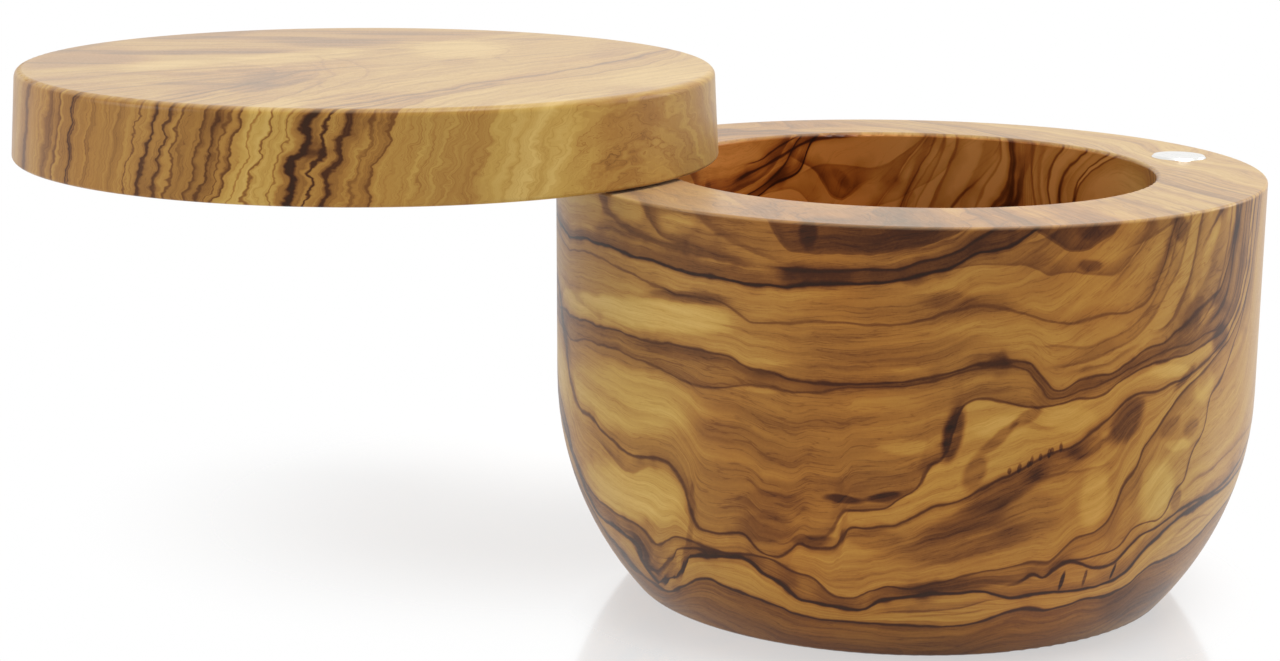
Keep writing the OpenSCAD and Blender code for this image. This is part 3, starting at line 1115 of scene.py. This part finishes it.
# All beyond the lid's edge, so the lid has no warm band
LID_WARMTH = (80.0, 100.0, 120.0, 100.0)
LID_LINES = [
    # Bold lines at the left end
    GrainLine(
        [(-54, -55), (-30, -52), (-25.8, -48.2), (-20, -41), (-12, -31), (-4, -18), (6, -4)],
        core=0.7, dark=0.5, over=(1.0, 0.15), fade="end",
    ),
    GrainLine(
        [(-54, -52), (-30, -50), (-26, -47.2), (-20, -40), (-12, -30), (-4, -16), (6, -2), (20, 10)],
        core=0.9, dark=0.6, over=(1.5, 0.2), under=(1.5, 0.2), fill=0.39, fade="end", layer=True,
    ),
    GrainLine(
        [(-54, -50), (-33.3, -42.8), (-26, -36), (-16, -26), (-6, -12), (4, 0)],
        core=3.4, dark=0.42, over=(1.2, 0.15), under=(1.0, 0.15), fade="end",
    ),
    GrainLine(
        [(-54, -49.5), (-35.4, -41), (-28, -32.4), (-18, -21.5), (-8, -10)],
        core=0.6, dark=0.5, fade="end",
    ),
    GrainLine(
        [(-54, -48), (-38.2, -38.4), (-30, -30), (-20, -19), (-10, -8), (0, 4)],
        core=0.8, dark=0.72, over=(0.8, 0.1), under=(1.4, 0.25), fill=0.42, fade="end", layer=True,
    ),
    GrainLine(
        [(-54, -40), (-45, -31), (-36, -24), (-26, -16), (-14, -8)],
        core=0.8, dark=0.3, over=(1.0, 0.1), fade="end",
    ),
    GrainLine(
        [(-54, -27.4), (-48, -25.2), (-40, -21), (-30, -16.5), (-20, -12), (-8, -8)],
        core=1.2, dark=0.78, over=(1.0, 0.25), under=(1.2, 0.25), fill=0.43, fade="end", layer=True,
    ),
    GrainLine(
        [(-54, -25), (-49, -22.8), (-42, -19.4), (-32, -14.4), (-24, -9)],
        core=0.9, dark=0.7, over=(1.0, 0.2), under=(0.8, 0.1), fade="end",
    ),
    GrainLine(
        [(-54, -23.4), (-50, -21), (-43, -17.8), (-34, -13)],
        core=0.6, dark=0.6, over=(0.8, 0.1), fade="end",
    ),
    GrainLine(
        [(-54, -20), (-51, -17.6), (-44, -14), (-36, -9)],
        core=0.5, dark=0.55, over=(1.4, 0.2), fade="end",
    ),
    GrainLine(
        [(-54, -13.6), (-50, -11.4), (-42, -8.6), (-30, -5.4), (-20, -4)],
        core=0.7, dark=0.66, under=(1.2, 0.16), fill=0.4, fade="end",
    ),
    GrainLine(
        [(-54, -11), (-50, -9), (-43, -6), (-32, -2.5)],
        core=0.4, dark=0.5, fade="end",
    ),
    GrainLine(
        [(-54, -8.6), (-50, -7), (-44, -4), (-36, 1)],
        core=0.7, dark=0.62, over=(0.8, 0.15), fade="end",
    ),
    GrainLine(
        [(-54, -5.6), (-50, -3.4), (-45, -0.4), (-38, 3.4), (-33, 7)],
        core=0.4, dark=0.5, fade="end",
    ),
    # Fine lines between the bolder ones at the left
    GrainLine(
        [(-54, -46), (-36, -36), (-28, -29), (-18, -18)],
        core=0.5, dark=0.62, over=(1.0, 0.12), fade="end",
    ),
    GrainLine(
        [(-54, -29.4), (-47, -27.4), (-40, -23.6), (-30, -18)],
        core=0.6, dark=0.6, over=(0.8, 0.12), fade="end",
    ),
    GrainLine(
        [(-54, -18), (-51, -15.2), (-45, -11.8), (-38, -8)],
        core=0.5, dark=0.62, over=(1.6, 0.15), fade="end",
    ),
    GrainLine(
        [(-54, -15.8), (-50.6, -13.2), (-44, -10), (-36, -6)],
        core=0.4, dark=0.55, fade="end",
    ),
    # The very dark streak that crosses the top from front to right
    GrainLine(
        [
            (-54, -2.8), (-51, 0.2), (-46, 4), (-40, 8), (-35, 11.6), (-30, 15), (-24, 17.6),
            (-18, 23), (-10, 28.5), (-3, 33), (4, 37.5), (12, 42), (20, 45), (30, 49), (54, 58),
        ],
        core=1.5, dark=0.92, over=(1.4, 0.35), under=(1.2, 0.25), fill=0.43, layer=True,
    ),
    GrainLine(
        [(-54, -0.2), (-51, 2.2), (-46, 6.2), (-40, 10.4), (-35, 13.6)],
        core=0.6, dark=0.8, fade="end",
    ),
    GrainLine(
        [(-54, 2.6), (-50, 5.2), (-46, 8), (-41, 10.8), (-35, 14.5), (-27, 19), (-20, 23)],
        core=1.4, dark=0.8, over=(1.6, 0.3), under=(0.8, 0.2), fade="end",
    ),
    GrainLine(
        [(-54, 6), (-48, 9), (-42, 11), (-34, 16), (-26, 21.5)],
        core=0.5, dark=0.45, fade="end",
    ),
    GrainLine(
        [
            (-54, 8.4), (-50, 10), (-44, 12), (-36, 15.5), (-28, 20.5), (-24, 23.5), (-21, 26),
            (-17, 30), (-11, 35), (-3, 40), (1, 43), (6, 45), (11, 47), (18, 48.5), (30, 50),
        ],
        core=0.8, dark=0.6, under=(2.0, 0.2), fill=0.36, layer=True,
    ),
    GrainLine(
        [(3, 39.5), (5, 40), (12, 42), (20, 44), (26, 45.5), (40, 47)],
        core=0.9, dark=0.55, over=(1.2, 0.15), under=(2.0, 0.15), fade="start",
    ),
    GrainLine(
        [(-32, -3.6), (-22, -5), (-15, -4), (-5, -6), (5, -8), (12, -9)],
        core=0.9, dark=0.5, over=(1.0, 0.1), under=(2.5, 0.15), fade="start end",
    ),
    GrainLine(
        [(2, 22), (12, 20), (20, 21), (25, 18.5), (29, 16.5)],
        core=0.8, dark=0.4, under=(1.2, 0.1), fade="start end",
    ),
    # Curls round the middle of the top
    GrainLine(
        [(-44, -10), (-34, -4), (-22, 0), (-10, 1), (2, -3), (10, -9)],
        core=0.8, dark=0.5, over=(2.0, 0.15), fade="start end",
    ),
    GrainLine(
        [(-38, -14), (-28, -9), (-16, -6.5), (-6, -7), (2, -11)],
        core=1.4, dark=0.45, under=(3.0, 0.2), fade="start end",
    ),
    GrainLine(
        [(-34, -22), (-24, -16), (-16, -13), (-8, -14), (-2, -19), (2, -26)],
        core=1.0, dark=0.5, under=(2.5, 0.2), fade="start end",
    ),
    GrainLine(
        [(-4, -24), (6, -16), (14, -4), (20, 8), (22, 20)],
        core=1.0, dark=0.45, over=(3.0, 0.2), fade="start end",
    ),
    GrainLine(
        [(8, -40), (14, -26), (18, -12), (24, 0), (30, 14), (33, 26)],
        core=1.6, dark=0.4, over=(4.0, 0.22), fade="start end",
    ),
    GrainLine(
        [(22, -34), (28, -22), (33, -8), (38, 6), (42, 18)],
        core=1.2, dark=0.45, over=(3.0, 0.2), fade="start end",
    ),
    GrainLine(
        [(-12, 6), (0, 10), (10, 16), (16, 24), (18, 32)],
        core=0.8, dark=0.45, under=(2.0, 0.15), fade="start end",
    ),
    # Faint lines at the right end
    GrainLine(
        [(-54, 17.5), (-51, 18.8), (-44, 22.5), (-36, 28)],
        core=0.8, dark=0.16, over=(1.0, 0.08), fade="end",
    ),
    GrainLine(
        [(-54, 21), (-49.5, 22.4), (-40, 28), (-30, 36), (-20, 44)],
        core=2.4, dark=0.2, over=(1.0, 0.08), under=(1.0, 0.06), fade="end",
    ),
    GrainLine(
        [(-54, 29), (-45, 30.8), (-38, 36), (-28, 44)],
        core=0.8, dark=0.26, over=(1.6, 0.1), fade="end", layer=True,
    ),
]

LID_STAINS = [
    Stain((-10, -38), 8.0, 22.0, -0.2, tilt=-40),
    Stain((8, -12), 8.0, 24.0, -0.2, tilt=-55),
    Stain((20, 13), 16.0, 10.0, -0.26),
    Stain((-22, -18), 18.0, 13.0, 0.14, tilt=20),
    Stain((-30, -14), 8.0, 5.0, 0.14),
    Stain((-8, -19), 6.0, 4.0, 0.14),
    Stain((-38, -22), 6.0, 5.0, 0.12),
    Stain((14, -26), 6.0, 16.0, 0.12, tilt=-12),
    Stain((27, -8), 7.0, 10.0, 0.12),
    Stain((20, -51), 26.0, 6.0, 0.2, tilt=20),
    Stain((40, -32), 14.0, 8.0, 0.16, tilt=40),
    Stain((20, 38), 20.0, 5.0, 0.08),
    Stain((40, 4), 8.0, 14.0, 0.06),
    Stain((-34, 42), 12.0, 6.0, 0.12),
    Stain((-12, 46), 20.0, 8.0, -0.12, tilt=20),
    Stain((-52, -17.5), 5.0, 4.0, 0.12),
    Stain((-50, -8.0), 9.0, 5.0, -0.16),
    Stain((-46, 29), 9.0, 8.0, -0.2),
    Stain((30, -8), 9.0, 16.0, 0.16, tilt=8),
    Stain((16, -22), 6.0, 18.0, 0.16, tilt=-6),
    Stain((-2, -30), 5.0, 12.0, -0.12, tilt=-30),
    Stain((-18, -12), 16.0, 7.0, 0.14),
    Stain((24, 8), 6.0, 14.0, -0.1),
    Stain((4, 14), 10.0, 4.0, 0.1),
    Stain((-2, -44), 28.0, 12.0, 0.24),
    Stain((-38, -38), 14.0, 14.0, 0.08),
    Stain((36, -22), 2.6, 15.0, 0.2),
    Stain((43, 2), 2.4, 17.0, 0.18),
    Stain((31, 12), 2.0, 12.0, -0.14),
    Stain((11, -36), 2.6, 11.0, 0.2),
    Stain((37, 24), 2.2, 10.0, 0.16),
    Stain((20, 2), 1.8, 9.0, 0.16),
    Stain((6, -18), 1.8, 10.0, -0.14),
    Stain((-15, -30), 3.0, 12.0, 0.16),
    Stain((-27, -24), 2.4, 9.0, 0.16),
    Stain((-40, 6), 6.0, 9.0, 0.08),
]


# Pivot and magnets


# How fine the metals' scratches and dull clouds are, and the nylon's clouds
SCRATCH_SCALE, DULL_SCALE, NYLON_SCALE = 2600.0, 420.0, 300.0
# How far a dulled place takes the darker shade, and how dark that is
DULLING, DULL_SHADE = 0.25, 0.72
SCRATCH_RELIEF = 0.02 * MM


def metal_material(name, shade, roughness):
    """Metal with small scratches and a little dulling."""
    w = Wiring(bpy.data.materials.new(name))
    place = w.add("TexCoord").outputs["Object"]
    scratches = w.noise(place, SCRATCH_SCALE, detail=3.0, roughness=0.6)
    dulled = w.fit(w.noise(place, DULL_SCALE), 0.35, 0.7, 0.0, DULLING)
    bump = w.add("Bump", {"Height": scratches, "Strength": 0.1, "Distance": SCRATCH_RELIEF})
    body = w.add(
        "BsdfPrincipled",
        {
            "Base Color": w.blend(dulled, shade, tuple(DULL_SHADE * c for c in shade)),
            "Metallic": 1.0,
            "Roughness": w.times_plus(scratches, 0.2, roughness - 0.1),
            "Normal": bump.outputs[0],
        },
    )
    return w.finish(body.outputs[0])


def nylon_material(name, shade):
    """Dark, slightly cloudy nylon."""
    w = Wiring(bpy.data.materials.new(name))
    place = w.add("TexCoord").outputs["Object"]
    cloud = w.noise(place, NYLON_SCALE)
    body = w.add(
        "BsdfPrincipled",
        {
            "Base Color": w.blend(cloud, shade, tuple(0.9 * c for c in shade)),
            "Roughness": w.times_plus(cloud, 0.2, 0.35),
        },
    )
    return w.finish(body.outputs[0])


def dress(node_name, material):
    """Gives a CAD node its material in every slot it has."""
    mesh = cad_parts[node_name].data
    if not mesh.materials:
        mesh.materials.append(material)
    for index in range(len(mesh.materials)):
        mesh.materials[index] = material


# Stage


WHITE = (1.0, 1.0, 1.0, 1.0)
# The floor shows its shadow round a place behind the bowl's left, and round the bowl's base.
SHADOW_PLACE, SHADOW_REACH = (-0.04, 0.055, 0.0), (0.025, 0.085)
BASE_REACH, BASE_SHARE = (0.042, 0.066), 0.8
# How strongly the floor mirrors, how blurred, and how much and how finely the blur wavers
FLOOR_IOR, FLOOR_BLUR, FLOOR_WAVER, FLOOR_WAVES = 1.75, 0.1, 0.03, 9.0
# Half the width of the floor
FLOOR_HALF = 6.0

# Name, place, size and share of the lamp power
LAMPS = (
    ("top_lamp", (0.18, -0.16, 0.9), 0.5, 1.5),
    ("left_lamp", (-0.72, 0.0, 0.3), 0.4, 0.45),
    ("right_lamp", (0.66, 0.05, 0.3), 0.4, 0.45),
)
LAMP_TARGET = (0.0, 0.0, 0.03)

# Width of the sensor in millimetres, and the range of distances that the camera sees, in metres
SENSOR_WIDTH = 36.0
NEAREST, FARTHEST = 0.01, 100.0


def seen_directly(w):
    """1 for rays from the camera or from a mirroring surface, 0 for the rays that carry light."""
    path = w.add("LightPath")
    return w.math("MAXIMUM", path.outputs["Is Camera Ray"], path.outputs["Is Glossy Ray"])


def floor_material(shade, shadow_depth):
    """Glossy pale floor. To the camera it is white, apart from the object's shadow and reflection."""
    w = Wiring(bpy.data.materials.new("floor_gloss"))
    place = w.add("TexCoord").outputs["Object"]
    away = w.add("VectorMath", {0: place, 1: SHADOW_PLACE}, operation="DISTANCE")
    behind = w.fit(away.outputs["Value"], *SHADOW_REACH, shadow_depth, 0.0, smooth=True)
    base = w.fit(w.length(place), *BASE_REACH, BASE_SHARE * shadow_depth, 0.0, smooth=True)
    depth = w.math("MAXIMUM", behind, base)
    lit = w.add("BsdfDiffuse", {"Color": (*shade, 1.0)}).outputs[0]
    white = w.add("Emission").outputs[0]
    pale = w.add("MixShader", {0: depth, 1: white, 2: lit}).outputs[0]
    plain = w.add("MixShader", {0: seen_directly(w), 1: lit, 2: pale}).outputs[0]
    blur = w.times_plus(w.noise(place, FLOOR_WAVES), FLOOR_WAVER, FLOOR_BLUR)
    gloss = w.add("BsdfGlossy", {"Color": WHITE, "Roughness": blur}).outputs[0]
    fresnel = w.add("Fresnel", {"IOR": FLOOR_IOR}).outputs[0]
    return w.finish(w.add("MixShader", {0: fresnel, 1: plain, 2: gloss}).outputs[0])


def light_world(strength):
    """Even sky light. What the camera and mirrors see of it is plain white."""
    w = Wiring(bpy.data.worlds.new("pale_room"))
    level = w.fit(seen_directly(w), 0.0, 1.0, strength, 1.0)
    sky = w.add("Background", {"Color": WHITE, "Strength": level})
    bpy.context.scene.world = w.finish(sky.outputs[0], "OutputWorld")


def soft_lamp(name, place, size, power):
    """A round lamp that points at the bowl."""
    data = bpy.data.lights.new(name, "AREA")
    data.shape = "DISK"
    data.size = size
    data.energy = power
    lamp = bpy.data.objects.new(name, data)
    lamp.location = place
    aim = Vector(LAMP_TARGET) - Vector(place)
    lamp.rotation_euler = aim.to_track_quat("-Z", "Y").to_euler()
    bpy.context.scene.collection.objects.link(lamp)


def photo_camera(stage):
    """A camera that stands where the photograph's camera stood."""
    data = bpy.data.cameras.new("photo_camera")
    data.sensor_width = SENSOR_WIDTH
    data.lens = stage.lens
    data.clip_start, data.clip_end = NEAREST, FARTHEST
    camera = bpy.data.objects.new("photo_camera", data)
    turn = Matrix.Rotation(-FRONT_TURN, 3, "Z")
    tilt = Matrix.Rotation(math.pi / 2 - stage.down, 3, "X")
    lean = Matrix.Rotation(stage.roll, 3, "Z")
    camera.matrix_world = Matrix.Translation(stage.eye) @ (turn @ tilt @ lean).to_4x4()
    bpy.context.scene.collection.objects.link(camera)
    return camera


def floor_plane():
    """A square floor on which the box stands."""
    mesh = bpy.data.meshes.new("floor")
    sheet = bmesh.new()
    bmesh.ops.create_grid(sheet, x_segments=1, y_segments=1, size=FLOOR_HALF)
    sheet.to_mesh(mesh)
    sheet.free()
    floor = bpy.data.objects.new("floor", mesh)
    bpy.context.scene.collection.objects.link(floor)
    return floor


# Operators


class SALTBOX_OT_bowl(Operator):
    """Dress the bowl in its olive wood"""

    bl_idname = "saltbox.bowl"
    bl_label = "Bowl wood"

    def execute(self, context):
        wood = wood_material(
            "bowl_olive_wood",
            context.scene.saltbox_wood,
            bowl_axes,
            BOWL_LINES,
            BOWL_STAINS,
            BOWL_START,
            BOWL_RINGS,
            BOWL_WARMTH,
        )
        dress("bowl", wood)
        return {"FINISHED"}


class SALTBOX_OT_lid(Operator):
    """Dress the lid in its olive wood"""

    bl_idname = "saltbox.lid"
    bl_label = "Lid wood"

    def execute(self, context):
        wood = wood_material(
            "lid_olive_wood",
            context.scene.saltbox_wood,
            lid_axes,
            LID_LINES,
            LID_STAINS,
            LID_START,
            LID_RINGS,
            LID_WARMTH,
        )
        dress("lid", wood)
        return {"FINISHED"}


class SALTBOX_OT_pivot(Operator):
    """Finish the pivot pin, its sleeve and its washer"""

    bl_idname = "saltbox.pivot"
    bl_label = "Pivot"

    def execute(self, context):
        metals = context.scene.saltbox_metal
        dress("pivot_pin", metal_material("pin_steel", tuple(metals.steel), roughness=0.25))
        dress("pivot_sleeve", metal_material("sleeve_brass", tuple(metals.brass), roughness=0.3))
        dress("pivot_washer", nylon_material("washer_nylon", tuple(metals.nylon)))
        return {"FINISHED"}


class SALTBOX_OT_magnets(Operator):
    """Plate the two magnets with nickel"""

    bl_idname = "saltbox.magnets"
    bl_label = "Magnets"

    def execute(self, context):
        plating = tuple(context.scene.saltbox_metal.nickel)
        nickel = metal_material("magnet_nickel", plating, roughness=0.22)
        dress("rim_magnet", nickel)
        dress("lid_magnet", nickel)
        return {"FINISHED"}


class SALTBOX_OT_stage(Operator):
    """Set the camera, the pale floor and the soft light"""

    bl_idname = "saltbox.stage"
    bl_label = "Stage"

    def execute(self, context):
        scene = context.scene
        stage = scene.saltbox_stage
        scene.view_settings.view_transform = "Standard"
        scene.camera = photo_camera(stage)

        floor = floor_plane()
        floor.data.materials.append(floor_material(tuple(stage.floor_colour), stage.floor_shadow))
        light_world(stage.sky_light)
        for name, place, size, share_of_power in LAMPS:
            soft_lamp(name, place, size, stage.lamp_power * share_of_power)
        return {"FINISHED"}


class SALTBOX_PT_panel(Panel):
    """Sidebar panel that lists the salt box's steps"""

    bl_label = "Salt box"
    bl_idname = "SALTBOX_PT_panel"
    bl_space_type = "VIEW_3D"
    bl_region_type = "UI"
    bl_category = "Salt box"

    def draw(self, context):
        layout = self.layout
        for operator in OPERATORS:
            layout.operator(operator.bl_idname)
        for group in (
            context.scene.saltbox_wood,
            context.scene.saltbox_metal,
            context.scene.saltbox_stage,
        ):
            box = layout.box()
            for key in group.__annotations__:
                box.prop(group, key)


OPERATORS = (
    SALTBOX_OT_bowl,
    SALTBOX_OT_lid,
    SALTBOX_OT_pivot,
    SALTBOX_OT_magnets,
    SALTBOX_OT_stage,
)
GROUPS = {
    "saltbox_wood": WoodSettings,
    "saltbox_metal": MetalSettings,
    "saltbox_stage": StageSettings,
}


def register():
    for cls in (*GROUPS.values(), *OPERATORS, SALTBOX_PT_panel):
        bpy.utils.register_class(cls)
    for key, group in GROUPS.items():
        setattr(bpy.types.Scene, key, PointerProperty(type=group))


def unregister():
    for key in GROUPS:
        delattr(bpy.types.Scene, key)
    for cls in reversed((*GROUPS.values(), *OPERATORS, SALTBOX_PT_panel)):
        bpy.utils.unregister_class(cls)


def main():
    register()
    bpy.ops.saltbox.bowl()
    bpy.ops.saltbox.lid()
    bpy.ops.saltbox.pivot()
    bpy.ops.saltbox.magnets()
    bpy.ops.saltbox.stage()


if __name__ == "__main__":
    main()
